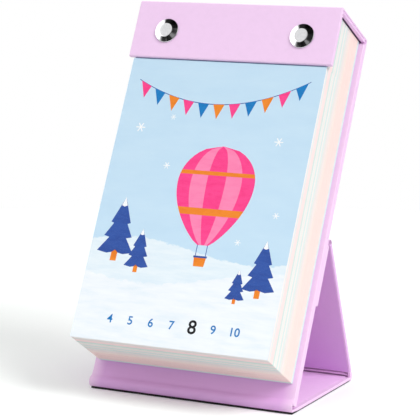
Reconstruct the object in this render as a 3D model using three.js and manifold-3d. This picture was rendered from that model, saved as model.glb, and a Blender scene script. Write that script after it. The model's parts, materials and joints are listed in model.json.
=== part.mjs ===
// A page-a-day desk calendar. A pad of leaves is clamped by two binding posts in a hard, paper-covered case,
// and the case folds into a triangular easel: back, base, strut and a tab that magnets hold to the back.
// Millimetres. X runs across the calendar, Y from its front to its back, Z up.
// The origin is at the centre of the base panel's underside.
import * as THREE from "three";
import { mergeVertices } from "three/addons/utils/BufferGeometryUtils.js";
import Module from "manifold-3d";

const wasm = await Module();
wasm.setup();

// Case: greyboards between a cover paper outside and a lining inside
const caseWidth = 105;
const boardCore = 1.4;
const coverPaper = 0.2;
const glueLine = 0.1;
const turnIn = 2.5; // the cover paper's rim that shows round a lining
const backHeight = 178.8; // from the foot fold to the back's top edge
const backToFoot = 0.4; // from the foot fold to the back boards' lower edge
const leanDegrees = 26;
const headerHeight = 28.2;
const spineRise = 1.9; // how much higher the header's top lies than the back's
const spineHingeGap = 0.5; // between the spine board and the boards before and behind it
const frontBoardToSpine = 0.3;

// Easel: base, strut and tab
const foldGap = 0.15; // from a fold's pivot to each panel that folds flat on the other
const baseToe = 3.6; // how far the base runs forward under the back
const baseReach = 66.5; // from the foot fold to the rear fold
const tabFoldHeight = 78.8; // up the back, from the foot fold
const tabLength = 30.4; // from the tab fold to the tab's free end
const tabClearance = 0.3; // between the tab and the back
const strutFootGap = 0.5; // from the rear fold to the strut's lower edge
const tabFoldRelief = 1.0; // from the tab fold to the strut's and the tab's upper edges
const footLip = 1.15; // how far the foot fold's round stands out of the back's front face
const foldStrip = 0.4; // cover paper over its backing strip, at the foot fold
const foldTongue = 0.7; // how far the rear fold's paper runs forward under the base
const overshoot = 1; // how far a cutting tool runs past the face that it cuts

// Pad: one leaf a day, of which the first week is gone and the next day shows
const daysInMonth = [31, 28, 31, 30, 31, 30, 31, 31, 30, 31, 30, 31];
const dayShown = 8;
const leafMargin = 2.5; // from the case's side to the leaves
const clampedPitch = 0.085; // thickness of a leaf where the header presses the pad
const freePitch = 0.0877;
const footPitch = 0.0905;
const topLeafThickness = 0.1;
const paperGap = 0.1;
const padFootFront = 13.2; // the pad's lower edge above the foot fold, at its front
const padFootRear = 10.2;
const padToSpine = 1.2;
const tearLineGap = 0.6; // from the header's lower edge to the leaves' tear line
const shoulder = 0.3; // height over which the pad swells out from under the header

// Binding posts, each with a screw from behind
const postInset = 17.4;
const postDrop = 14.5; // from the header's top edge to the posts' axes
const postRadius = 2.5;
const postClearance = 0.2;
const capRadius = 6.1;
const capThickness = 1.5;
const capBevel = 0.6;
const postShort = 0.6; // how far the barrel ends before the back's rear face
const screwRadius = 1.5;
const screwClearance = 0.2;
const screwLength = 9;
const screwEndRoom = 1; // from the screw's end to the bore's
const screwHeadRadius = 5;
const screwHeadThickness = 1.2;
const screwSlotWidth = 0.9;
const screwSlotDepth = 0.5;

// Disc magnets, one pair in the back and one in the tab
const magnetRadius = 5;
const magnetThickness = 1.1;
const magnetClearance = 0.15;
const magnetInset = 20;
const magnetHeight = 16; // from the tab fold down to the magnets' centres

// Sizes that follow
const skin = coverPaper + glueLine;
const panelThickness = boardCore + 2 * skin;
const backThickness = 2 * (boardCore + skin) + glueLine;
const halfCase = caseWidth / 2;
const leafWidth = caseWidth - 2 * leafMargin;
const lean = THREE.MathUtils.degToRad(leanDegrees);
const remainingDays = daysInMonth.map((days, month) => (month === 0 ? days - dayShown : days));
const leafCount = remainingDays.reduce((sum, days) => sum + days, 0);

// Places in the leaning frame: the origin is the foot fold, Y leads out of the back's rear face, Z up the back
const rearFace = -foldGap;
const frontFace = rearFace - backThickness;
const joint = (rearFace + frontFace) / 2; // where the rear board and the front board are glued together
const padRear = frontFace - paperGap;
const headerRear = padRear - leafCount * clampedPitch - paperGap;
const headerFront = headerRear - panelThickness;
const headerTop = backHeight + spineRise;
const headerFoot = headerTop - headerHeight;
const tearLine = headerFoot - tearLineGap;
const postHeight = headerTop - postDrop;
const slope = spineRise / (rearFace - headerFront);
const spineTop = (y) => backHeight + slope * (rearFace - y);
const tabFoldOffset = rearFace + tabClearance + panelThickness + foldGap;

// Places in the frame of the whole calendar
const footFoldHeight = panelThickness + foldGap;
const leaningDirection = new THREE.Vector2(Math.sin(lean), Math.cos(lean));
const rearwardDirection = new THREE.Vector2(Math.cos(lean), -Math.sin(lean));
const footToTabFold = leaningDirection
  .clone()
  .multiplyScalar(tabFoldHeight)
  .addScaledVector(rearwardDirection, tabFoldOffset);
const strutVector = footToTabFold.clone().sub(new THREE.Vector2(baseReach, -footFoldHeight));
const strutLength = strutVector.length();
const strutLean = Math.atan2(-strutVector.x, strutVector.y);
const baseSetback = foldGap + panelThickness * Math.tan(strutLean); // the strut's lower edge clears the base
const baseLength = baseToe + baseReach - baseSetback;
const footFold = new THREE.Vector2(baseToe - baseLength / 2, footFoldHeight);
const rearFold = new THREE.Vector2(footFold.x + baseReach, 0);
const tabFold = footFold.clone().add(footToTabFold);

function material(color, roughness, metalness = 0) {
  return new THREE.MeshStandardMaterial({ color, roughness, metalness });
}

const materials = {
  coverPaper: material(0xeccdf0, 0.75),
  lining: material(0xd9abe0, 0.8),
  greyboard: material(0xa49c90, 0.95),
  fold: material(0xdcb6e4, 0.75),
  leaves: material(0xf3efe6, 0.9),
  page: material(0xd8eaf6, 0.8),
  chrome: material(0xd6d6d8, 0.18, 1),
  magnet: material(0x9a9da2, 0.35, 1),
};

// The solid that a closed geometry encloses
function solidOf(geometry) {
  const bare = geometry.clone();
  bare.deleteAttribute("normal");
  bare.deleteAttribute("uv");
  const merged = mergeVertices(bare, 1e-4);
  return new wasm.Manifold(
    new wasm.Mesh({
      numProp: 3,
      vertProperties: merged.attributes.position.array,
      triVerts: new Uint32Array(merged.index.array),
    }),
  );
}

// A geometry for a solid
function geometryOf(solid) {
  const mesh = solid.getMesh();
  return new THREE.BufferGeometry()
    .setAttribute("position", new THREE.BufferAttribute(mesh.vertProperties, 3))
    .setIndex(new THREE.BufferAttribute(mesh.triVerts, 1));
}

const join = (...geometries) =>
  geometryOf(geometries.map(solidOf).reduce((whole, solid) => whole.add(solid)));

const cut = (geometry, ...tools) =>
  geometryOf(tools.map(solidOf).reduce((rest, tool) => rest.subtract(tool), solidOf(geometry)));

// A box between two corners
function box([x0, x1], [y0, y1], [z0, z1]) {
  const centre = [(x0 + x1) / 2, (y0 + y1) / 2, (z0 + z1) / 2];
  return new THREE.BoxGeometry(x1 - x0, y1 - y0, z1 - z0).translate(...centre);
}

// A prism across the calendar, from its outline in Y and Z
function across(outline, width) {
  const shape = new THREE.Shape(outline.map(([y, z]) => new THREE.Vector2(y, z)));
  const turned = new THREE.Matrix4().makeBasis(
    new THREE.Vector3(0, 1, 0),
    new THREE.Vector3(0, 0, 1),
    new THREE.Vector3(1, 0, 0),
  );
  return new THREE.ExtrudeGeometry(shape, { depth: width, bevelEnabled: false })
    .applyMatrix4(turned)
    .translate(-width / 2, 0, 0);
}

// Points on an arc about the origin, from one angle to the other, measured from Y towards Z
function arc(radius, from, to, steps = 10) {
  return Array.from({ length: steps + 1 }, (_, i) => {
    const angle = from + ((to - from) * i) / steps;
    return [radius * Math.cos(angle), radius * Math.sin(angle)];
  });
}

// Two rods through the header, the pad and the back, where the posts pass
function postHoles(rear, front) {
  const radius = postRadius + postClearance;
  return [-1, 1].map((side) =>
    new THREE.CylinderGeometry(radius, radius, rear - front, 24).translate(
      side * (halfCase - postInset),
      (rear + front) / 2,
      postHeight,
    ),
  );
}

const calendar = new THREE.Group();
const leaning = new THREE.Group();
leaning.position.set(0, footFold.x, footFold.y);
leaning.rotation.x = -lean;
calendar.add(leaning);

function addPiece(group, name, geometry, finish) {
  const mesh = new THREE.Mesh(geometry, finish);
  mesh.name = name;
  group.add(mesh);
  return mesh;
}

// Cover case: the header board, the spine board and the rear board in one sheet of cover paper
function addCoverCase() {
  const whole = [-halfCase, halfCase];
  const core = [-halfCase + skin, halfCase - skin];
  const room = [-halfCase + coverPaper, halfCase - coverPaper];
  const rearHoles = postHoles(rearFace + overshoot, joint - overshoot);
  const headerHoles = postHoles(headerRear + overshoot, headerFront - overshoot);

  const headerBoard = box(
    core,
    [headerFront + skin, headerRear - skin],
    [headerFoot + skin, spineTop(headerRear - skin) - skin],
  );
  addPiece(leaning, "header_board", cut(headerBoard, ...headerHoles), materials.greyboard);

  const spineEnds = [headerRear - skin + spineHingeGap, joint + glueLine / 2 - spineHingeGap];
  const spineBand = (y0, y1, upper, lower) => [
    [y0, spineTop(y0) - lower],
    [y1, spineTop(y1) - lower],
    [y1, spineTop(y1) - upper],
    [y0, spineTop(y0) - upper],
  ];
  const coreWidth = caseWidth - 2 * skin;
  const spineCore = across(spineBand(spineEnds[0], spineEnds[1], skin, skin + boardCore), coreWidth);
  addPiece(leaning, "spine_board", spineCore, materials.greyboard);

  const rearHeights = [backToFoot + skin, backHeight - skin];
  const rearBoard = box(core, [joint + glueLine / 2, rearFace - skin], rearHeights);
  addPiece(leaning, "rear_board", cut(rearBoard, ...rearHoles, ...magnetPockets()), materials.greyboard);

  const outside = join(
    box(whole, [headerFront, headerRear], [headerFoot, backHeight]),
    across(spineBand(headerFront, rearFace, 0, panelThickness), caseWidth),
    box(whole, [joint, rearFace], [backToFoot, backHeight]),
  );
  const roomWidth = caseWidth - 2 * coverPaper;
  const innerSkin = panelThickness - coverPaper;
  const headerRoom = [headerFront + coverPaper, headerRear - coverPaper];
  const headerSpace = across(
    [
      [headerRoom[0], headerFoot + coverPaper],
      [headerRoom[1], headerFoot + coverPaper],
      [headerRoom[1], spineTop(headerRoom[1]) - coverPaper],
      [headerRoom[0], spineTop(headerRoom[0]) - coverPaper],
    ],
    roomWidth,
  );
  const spineRoom = spineBand(headerRoom[0], rearFace - coverPaper, coverPaper, innerSkin);
  const spineSpace = across(spineRoom, roomWidth);
  const rearSpace = box(
    room,
    [joint - glueLine / 2, rearFace - coverPaper],
    [backToFoot + coverPaper, backHeight - coverPaper],
  );
  const open = caseWidth - 2 * turnIn;
  const headerOpening = box(
    [-open / 2, open / 2],
    [headerRear - panelThickness / 2, headerRear + overshoot],
    [headerFoot + turnIn, spineTop(headerRear) - panelThickness / 2],
  );
  const spineOpening = across(
    spineBand(headerRear - coverPaper, frontFace - paperGap, panelThickness / 2, panelThickness + overshoot),
    open,
  );
  addPiece(
    leaning,
    "cover_wrap",
    cut(
      outside,
      headerSpace,
      spineSpace,
      rearSpace,
      headerOpening,
      spineOpening,
      ...postHoles(rearFace + overshoot, joint - overshoot),
      ...postHoles(headerRear + overshoot, headerFront - overshoot),
    ),
    materials.coverPaper,
  );

  const liningFront = headerRear - coverPaper;
  const liningRear = frontFace - paperGap - glueLine;
  const lining = across(
    [
      [liningFront, headerFoot + turnIn + glueLine],
      [headerRear, headerFoot + turnIn + glueLine],
      [headerRear, spineTop(headerRear) - panelThickness],
      [liningRear, spineTop(liningRear) - panelThickness],
      [liningRear, spineTop(liningRear) - innerSkin],
      [liningFront, spineTop(liningFront) - innerSkin],
    ],
    open - 2 * glueLine,
  );
  addPiece(leaning, "cover_lining", cut(lining, ...headerHoles), materials.lining);
}

// Front board of the easel case, glued to the rear board, with its cover paper round three edges
function addFrontBoard() {
  const top = spineTop(frontFace) - panelThickness - frontBoardToSpine;
  const holes = postHoles(joint + overshoot, frontFace - overshoot);
  const board = box(
    [-halfCase + skin, halfCase - skin],
    [frontFace + skin, joint - glueLine / 2],
    [backToFoot, top - skin],
  );
  addPiece(leaning, "front_board", cut(board, ...holes), materials.greyboard);

  const outside = box([-halfCase, halfCase], [frontFace, joint - glueLine / 2], [backToFoot, top]);
  const room = box(
    [-halfCase + coverPaper, halfCase - coverPaper],
    [frontFace + coverPaper, joint + overshoot],
    [backToFoot - overshoot, top - coverPaper],
  );
  addPiece(leaning, "front_wrap", cut(outside, room, ...holes), materials.coverPaper);
}

// Round fold between the front board and the base, about the foot fold
function addFootFold() {
  const outer = foldGap + backThickness + footLip;
  const inner = outer - foldStrip;
  const upper = Math.PI - Math.acos((foldGap + backThickness + paperGap) / inner);
  const lower = Math.PI + lean + Math.asin(footFoldHeight / outer);
  addPiece(
    leaning,
    "foot_fold",
    across([...arc(outer, upper, lower), ...arc(inner, lower, upper)], caseWidth),
    materials.fold,
  );
}

// Pad: one block of leaves for each month, the new year at the front, and the day's leaf before them all
const monthNames = [
  "january",
  "february",
  "march",
  "april",
  "may",
  "june",
  "july",
  "august",
  "september",
  "october",
  "november",
  "december",
];

function addPad() {
  const top = (y) => spineTop(y) - panelThickness - padToSpine;
  const footHeight = (leaves) => padFootRear + ((padFootFront - padFootRear) * leaves) / leafCount;
  const side = (leaves, gap) => [
    [padRear - leaves * footPitch + gap, footHeight(leaves)],
    [padRear - leaves * freePitch + gap, tearLine],
    [padRear - leaves * clampedPitch + gap, tearLine + shoulder],
    [padRear - leaves * clampedPitch + gap, top(padRear - leaves * clampedPitch)],
  ];
  let leavesBehind = 0;
  for (let month = monthNames.length - 1; month >= 0; month -= 1) {
    const leavesInFront = leavesBehind + remainingDays[month];
    const outline = [...side(leavesBehind, -glueLine / 2), ...side(leavesInFront, glueLine / 2).reverse()];
    addPiece(
      leaning,
      `leaves_${monthNames[month]}`,
      cut(across(outline, leafWidth), ...postHoles(padRear + overshoot, headerRear - overshoot)),
      materials.leaves,
    );
    leavesBehind = leavesInFront;
  }

  const back = (pitch) => padRear - leafCount * pitch - paperGap;
  const topLeaf = [
    [back(footPitch), padFootFront],
    [back(freePitch), tearLine],
    [back(freePitch) - topLeafThickness, tearLine],
    [back(footPitch) - topLeafThickness, padFootFront],
  ];
  addPiece(leaning, "top_leaf", across(topLeaf, leafWidth), materials.page);
}

// Binding posts: a bevelled cap on the header, a barrel through the pad, and a screw in it from behind
function addBindingPosts() {
  const capRear = headerFront - glueLine;
  const capFront = capRear - capThickness;
  const barrelEnd = rearFace - postShort;
  const boreRadius = screwRadius + screwClearance;
  const boreEnd = rearFace - screwLength - screwEndRoom;
  const postProfile = [
    [0, capFront],
    [capRadius - capBevel, capFront],
    [capRadius, capFront + capBevel],
    [capRadius, capRear],
    [postRadius, capRear],
    [postRadius, barrelEnd],
    [boreRadius, barrelEnd],
    [boreRadius, boreEnd],
    [0, boreEnd],
  ];
  const headFront = rearFace + glueLine;
  const headRear = headFront + screwHeadThickness;
  const screwProfile = [
    [0, rearFace - screwLength],
    [screwRadius, rearFace - screwLength],
    [screwRadius, headFront],
    [screwHeadRadius, headFront],
    [screwHeadRadius, headRear - capBevel / 2],
    [screwHeadRadius - capBevel, headRear],
    [0, headRear],
  ];
  const lathe = (profile, steps) =>
    new THREE.LatheGeometry(
      profile.map(([radius, y]) => new THREE.Vector2(radius, y)),
      steps,
    );
  const slot = box(
    [-screwHeadRadius - overshoot, screwHeadRadius + overshoot],
    [headRear - screwSlotDepth, headRear + overshoot],
    [-screwSlotWidth / 2, screwSlotWidth / 2],
  );
  for (const [side, sign] of [
    ["left", -1],
    ["right", 1],
  ]) {
    const x = sign * (halfCase - postInset);
    const post = addPiece(leaning, `binding_post_${side}`, lathe(postProfile, 40), materials.chrome);
    post.position.set(x, 0, postHeight);
    const slottedScrew = cut(lathe(screwProfile, 32), slot);
    const screw = addPiece(leaning, `post_screw_${side}`, slottedScrew, materials.chrome);
    screw.position.set(x, 0, postHeight);
  }
}

// Disc magnets
const magnetPlaces = [
  ["left", -(halfCase - magnetInset)],
  ["right", halfCase - magnetInset],
];

function magnetDisc(radius, thickness) {
  return new THREE.CylinderGeometry(radius, radius, thickness, 24);
}

// Pockets in the rear board for the back's magnets
function magnetPockets() {
  const pocket = magnetDisc(magnetRadius + magnetClearance, 2 * backThickness);
  return magnetPlaces.map(([, x]) => pocket.clone().translate(x, rearFace, tabFoldHeight - magnetHeight));
}

function addBackMagnets() {
  for (const [side, x] of magnetPlaces) {
    const magnet = addPiece(
      leaning,
      `back_magnet_${side}`,
      magnetDisc(magnetRadius, magnetThickness),
      materials.magnet,
    );
    magnet.position.set(x, rearFace - skin - boardCore / 2, tabFoldHeight - magnetHeight);
  }
}

// An easel panel in its own frame: the pivot plane is Y = 0, Y leads out of its cover side, Z along its
// length. Its board lies between the cover paper, turned in round four edges, and a lining set in from them.
function addPanel(group, name, [start, end], pockets = []) {
  const inner = foldGap;
  const outer = foldGap + panelThickness;
  const board = box(
    [-halfCase + skin, halfCase - skin],
    [inner + skin, outer - skin],
    [start + skin, end - skin],
  );
  addPiece(group, `${name}_board`, pockets.length ? cut(board, ...pockets) : board, materials.greyboard);

  const outside = box([-halfCase, halfCase], [inner, outer], [start, end]);
  const room = box(
    [-halfCase + coverPaper, halfCase - coverPaper],
    [inner + coverPaper, outer - coverPaper],
    [start + coverPaper, end - coverPaper],
  );
  const opening = box(
    [-halfCase + turnIn, halfCase - turnIn],
    [inner - overshoot, (inner + outer) / 2],
    [start + turnIn, end - turnIn],
  );
  addPiece(group, `${name}_wrap`, cut(outside, room, opening), materials.coverPaper);

  const rim = turnIn + glueLine;
  const liningWidth = [-halfCase + rim, halfCase - rim];
  const lining = box(liningWidth, [inner, inner + coverPaper], [start + rim, end - rim]);
  addPiece(group, `${name}_lining`, lining, materials.lining);
}

function addBase() {
  const base = new THREE.Group();
  base.position.set(0, footFold.x, footFold.y);
  base.rotation.x = -Math.PI / 2;
  calendar.add(base);
  addPanel(base, "base", [-baseToe, baseReach - baseSetback]);
}

function addStrut() {
  const strut = new THREE.Group();
  strut.position.set(0, rearFold.x, rearFold.y);
  strut.rotation.x = strutLean;
  calendar.add(strut);
  addPanel(strut, "strut", [strutFootGap, strutLength - tabFoldRelief]);
}

function addTab() {
  const tab = new THREE.Group();
  tab.position.set(0, tabFoldOffset, tabFoldHeight);
  tab.rotation.x = Math.PI;
  leaning.add(tab);
  const middle = foldGap + panelThickness / 2;
  const pocket = magnetDisc(magnetRadius + magnetClearance, 2 * panelThickness);
  const pockets = magnetPlaces.map(([, x]) => pocket.clone().translate(x, middle, magnetHeight));
  addPanel(tab, "tab", [tabFoldRelief, tabLength], pockets);
  for (const [side, x] of magnetPlaces) {
    const disc = magnetDisc(magnetRadius, magnetThickness);
    const magnet = addPiece(tab, `tab_magnet_${side}`, disc, materials.magnet);
    magnet.position.set(x, middle, magnetHeight);
  }
}

// The strut's folds: its cover paper runs round to the base below and to the tab above
function addStrutFolds() {
  const outer = foldGap + panelThickness;
  const inner = outer - coverPaper;
  const along = ([y, z], angle, distance) => [y + distance * Math.cos(angle), z + distance * Math.sin(angle)];
  const upStrut = strutLean + Math.PI / 2;
  const upBack = Math.PI / 2 - lean;
  const floorAngle = Math.asin(coverPaper / inner);

  const rear = new THREE.Group();
  rear.position.set(0, rearFold.x, rearFold.y);
  calendar.add(rear);
  const lowerLeg = strutFootGap - glueLine;
  const rearOutline = [
    [-foldTongue, 0],
    ...arc(outer, 0, strutLean, 4),
    along(arc(outer, 0, strutLean, 1)[1], upStrut, lowerLeg),
    along(arc(inner, 0, strutLean, 1)[1], upStrut, lowerLeg),
    ...arc(inner, strutLean, floorAngle, 4),
    [-foldTongue, coverPaper],
  ];
  addPiece(rear, "rear_fold", across(rearOutline, caseWidth), materials.fold);

  const upper = new THREE.Group();
  upper.position.set(0, tabFold.x, tabFold.y);
  calendar.add(upper);
  const upperLeg = tabFoldRelief - glueLine;
  const backSide = Math.PI - lean;
  const tabOutline = [
    along(arc(outer, 0, strutLean, 1)[1], upStrut, -upperLeg),
    ...arc(outer, strutLean, backSide),
    along(arc(outer, 0, backSide, 1)[1], upBack, -upperLeg),
    along(arc(inner, 0, backSide, 1)[1], upBack, -upperLeg),
    ...arc(inner, backSide, strutLean),
    along(arc(inner, 0, strutLean, 1)[1], upStrut, -upperLeg),
  ];
  addPiece(upper, "tab_fold", across(tabOutline, caseWidth), materials.fold);
}

addCoverCase();
addFrontBoard();
addFootFold();
addPad();
addBindingPosts();
addBackMagnets();
addBase();
addStrut();
addTab();
addStrutFolds();

export default calendar;
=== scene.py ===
import json
import math
import random

import bmesh
import bpy
from mathutils import Matrix, Vector
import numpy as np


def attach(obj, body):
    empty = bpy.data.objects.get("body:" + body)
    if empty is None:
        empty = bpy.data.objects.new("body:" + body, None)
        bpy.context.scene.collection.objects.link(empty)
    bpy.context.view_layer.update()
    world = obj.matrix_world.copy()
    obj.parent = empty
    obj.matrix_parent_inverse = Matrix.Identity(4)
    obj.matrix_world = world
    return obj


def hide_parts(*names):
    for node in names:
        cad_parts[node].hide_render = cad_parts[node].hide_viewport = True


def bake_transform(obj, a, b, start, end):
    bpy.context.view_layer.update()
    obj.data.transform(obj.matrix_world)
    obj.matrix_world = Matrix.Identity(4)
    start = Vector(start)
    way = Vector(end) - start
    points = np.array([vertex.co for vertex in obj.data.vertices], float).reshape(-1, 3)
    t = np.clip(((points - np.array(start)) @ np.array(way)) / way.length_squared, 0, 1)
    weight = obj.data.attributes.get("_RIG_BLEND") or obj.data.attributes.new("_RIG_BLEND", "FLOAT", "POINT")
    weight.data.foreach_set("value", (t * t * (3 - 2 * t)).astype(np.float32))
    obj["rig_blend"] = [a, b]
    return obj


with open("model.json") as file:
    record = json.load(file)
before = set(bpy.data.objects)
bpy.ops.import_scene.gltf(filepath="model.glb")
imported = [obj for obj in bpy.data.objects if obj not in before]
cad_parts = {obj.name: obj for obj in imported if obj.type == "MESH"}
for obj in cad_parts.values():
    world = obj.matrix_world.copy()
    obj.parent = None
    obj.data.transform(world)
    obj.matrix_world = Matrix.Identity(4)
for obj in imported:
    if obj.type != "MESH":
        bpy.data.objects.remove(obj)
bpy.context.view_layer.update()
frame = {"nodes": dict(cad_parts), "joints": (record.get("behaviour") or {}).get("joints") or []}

random.seed(8)

# Lengths are in millimetres, unless a name says otherwise
MM = 0.001
LEAN = math.radians(26)

# Camera, as fitted to the photograph
IMAGE_PIXELS = 420
FOCAL_PIXELS = 1897.96
CAMERA_PLACE = Vector((383.07, -797.69, 226.23))
CAMERA_YAW = math.radians(26.053)
CAMERA_PITCH = math.radians(-9.089)
CAMERA_ROLL = math.radians(0.46)
SENSOR_WIDTH = 36
CLIP_START_METRES = 0.01

# Papers and boards
PAPER = 0.2
GLUE = 0.1
BOARD_ROUND = 0.4
CORE_ROUND = 0.1
SHEET_ROUND = 0.04
THIN_ROUND = 0.03
LINING_STEP = 0.06

# Cover case. The spine's top rises over the CAD case in front and over the rear board behind. The spine's
# lining and core have their own insets at their ends and, in pairs, behind the header and before the back.
LIP_ROUND = 0.7
CASE_ROUND = 0.3
GROOVE_ROUND = 0.35
HEADER_THICKNESS = 2.0
HEADER_CHAMFER = 0.75
SPINE_THICKNESS = 2.0
SPINE_RECESS = 0.4
SPINE_RISE_FRONT = 0.7
SPINE_RISE_REAR = 1.0
SPINE_CORE_LOW = 0.2
SPINE_CORE_HIGH = 0.8
SPINE_CORE_INSET = 1
SPINE_LINING_INSETS = (0.15, 0.45)
SPINE_CORE_INSETS = (0.4, 0.7)
OUTER_PLY = 0.85
HINGE_GAP = 0.8
PAD_GAP = 0.7
# The dark sheet under the spine, painted shade in the gap above the pad: its half width and how short it
# stops of the rear
SPINE_SHADE_HALF_WIDTH = 50.32
SPINE_SHADE_SHORT = 0.6
FRONT_ROUND = 0.45

# Foot lip: how far its curve runs in front of the foot fold and above the table, from the board down
LIP_CURVE = (
    (1.1, 8.25),
    (1.56, 7.3),
    (2.25, 6.4),
    (3.5, 5.75),
    (4.45, 4.9),
    (4.88, 3.9),
    (4.95, 2.9),
    (4.72, 1.9),
    (4.1, 1.15),
)
LIP_PAPER = 0.4
LIP_EDGE_ROUND = 0.15
LIP_BEND_START = 0.6

# Base: its edges stand a little clear of the table, more so at the toe, on thin near-black strips that paint
# the contact shadow under its edges
EDGE_LIFT = 0.6
EDGE_ROUND = 0.6
TOE_LIFT = 1.1
TOE_DEPTH = 6.0
TOE_ROUND = 1.0
FOOT_INSET = 0.5
STRIP_WIDTH = 0.9
STRIP_ROUND = 0.1

# Joint between the base and the strut, where the linings sink in and leave a ridge
JOINT_TOP = 4.7
JOINT_ROUND = 2.6
JOINT_LAP = 0.3
JOINT_END_WIDTH = 1.4
JOINT_END_ROUND = 0.26
JOINT_END_EDGE_ROUND = 0.25
FOLD_LAP_BASE = 0.8
FOLD_LAP_STRUT = 0.4
LINING_RISE = 0.2
STRUT_BORDER = 0.7
RIDGE_FOOT = 3.0
RIDGE_THIN = 0.2
RIDGE_THICK = 0.6
RIDGE_SHORT = 1.6
RIDGE_SINK = 0.5
RIDGE_DEPTH = 0.55

# Posts: a cap with a flat disc, a cone round it and a rounded rim, on a barrel. Screws: a slotted dome.
CAP_FLAT_SHARE = 0.56
CAP_SLOPE = math.radians(22)
CAP_RIM = 0.4
CAP_RIM_END = 0.12
CAP_BEVEL = 0.08
BARREL_RADIUS = 2.5
BARREL_BEVEL = 0.1
SCREW_RADIUS = 1.5
SCREW_BEVEL = 0.3
SCREW_FLAT_SHARE = 0.55
SCREW_EDGE = 0.15
SLOT_HALF_WIDTH = 0.45
SLOT_DEPTH = 0.5
SLOT_ROUND = 0.08
SEAT_GAP = 0.02

# Pad: days in each month, without the eight that are gone or on top. A leaf's pitch varies up the pad.
DAYS = {
    "january": 23,
    "february": 28,
    "march": 31,
    "april": 30,
    "may": 31,
    "june": 30,
    "july": 31,
    "august": 31,
    "september": 30,
    "october": 31,
    "november": 30,
    "december": 31,
}
CLAMPED_PITCH = 0.085
FREE_PITCH = 0.0877
FOOT_PITCH = 0.0905
LEAF_FILL_SHARE = 0.96
LEAF_INSET = 0.08
SIDE_SPREAD = 0.035
FOOT_SPREAD = 0.04
FOOT_SHIFT = 0.05
SHOULDER = 0.3
PAGE_GAP = 0.2
PAGE_CURL = 0.3
PAGE_THICKNESS = 0.1
NEXT_PAGE_FRONT = -0.165
NEXT_PAGE_THICKNESS = 0.02
INK = 0.01
NUMBER_WEIGHT_SHARE = 0.022

joint_places = {joint["name"]: Vector(joint["pos_m"]) / MM for joint in frame["joints"]}
FOOT_FOLD = joint_places["foot_fold_joint"]
REAR_FOLD = joint_places["rear_fold_joint"]
TAB_FOLD = joint_places["tab_fold_joint"]
strut_run = TAB_FOLD - REAR_FOLD
STRUT_LEAN = math.atan2(-strut_run.y, strut_run.z)
strut_tilt = Matrix.Rotation(STRUT_LEAN, 2)

# Frames of the leaning back, the strut, the two rear folds and the whole calendar
LEANING = Matrix.Translation(FOOT_FOLD) @ Matrix.Rotation(-LEAN, 4, "X")
STRUT = Matrix.Translation(REAR_FOLD) @ Matrix.Rotation(STRUT_LEAN, 4, "X")
AT_REAR_FOLD = Matrix.Translation(REAR_FOLD)
AT_TAB_FOLD = Matrix.Translation(TAB_FOLD)
UPRIGHT = Matrix.Identity(4)


def extent(node, place):
    """A CAD node's lowest and highest corners in one of these frames."""
    inverse = place.inverted()
    points = [inverse @ (vertex.co / MM) for vertex in frame["nodes"][node].data.vertices]
    low = Vector([min(point[axis] for point in points) for axis in range(3)])
    high = Vector([max(point[axis] for point in points) for axis in range(3)])
    return low, high


def link(name, data):
    """A new object in the scene."""
    made = bpy.data.objects.new(name, data)
    bpy.context.scene.collection.objects.link(made)
    return made


# Camera


def add_camera():
    """The camera, at the photograph's place and angle."""
    forward = Vector(
        (
            -math.sin(CAMERA_YAW) * math.cos(CAMERA_PITCH),
            math.cos(CAMERA_YAW) * math.cos(CAMERA_PITCH),
            math.sin(CAMERA_PITCH),
        )
    )
    level = Vector((math.cos(CAMERA_YAW), math.sin(CAMERA_YAW), 0))
    upward = level.cross(forward)
    right = level * math.cos(CAMERA_ROLL) + upward * math.sin(CAMERA_ROLL)
    up = upward * math.cos(CAMERA_ROLL) - level * math.sin(CAMERA_ROLL)
    data = bpy.data.cameras.new("camera")
    data.sensor_width = SENSOR_WIDTH
    data.lens = FOCAL_PIXELS / IMAGE_PIXELS * SENSOR_WIDTH
    data.clip_start = CLIP_START_METRES
    camera = link("camera", data)
    turn = Matrix((right, up, -forward)).transposed().to_4x4()
    camera.matrix_world = Matrix.Translation(CAMERA_PLACE * MM) @ turn
    bpy.context.scene.camera = camera


add_camera()


# Materials


def linear(red, green, blue):
    """A colour for a shader, from its 0 to 255 screen values."""
    def channel(value):
        share = value / 255
        return share / 12.92 if share <= 0.04045 else ((share + 0.055) / 1.055) ** 2.4

    return (channel(red), channel(green), channel(blue), 1)


def grey(value):
    return (value, value, value, 1)


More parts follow.
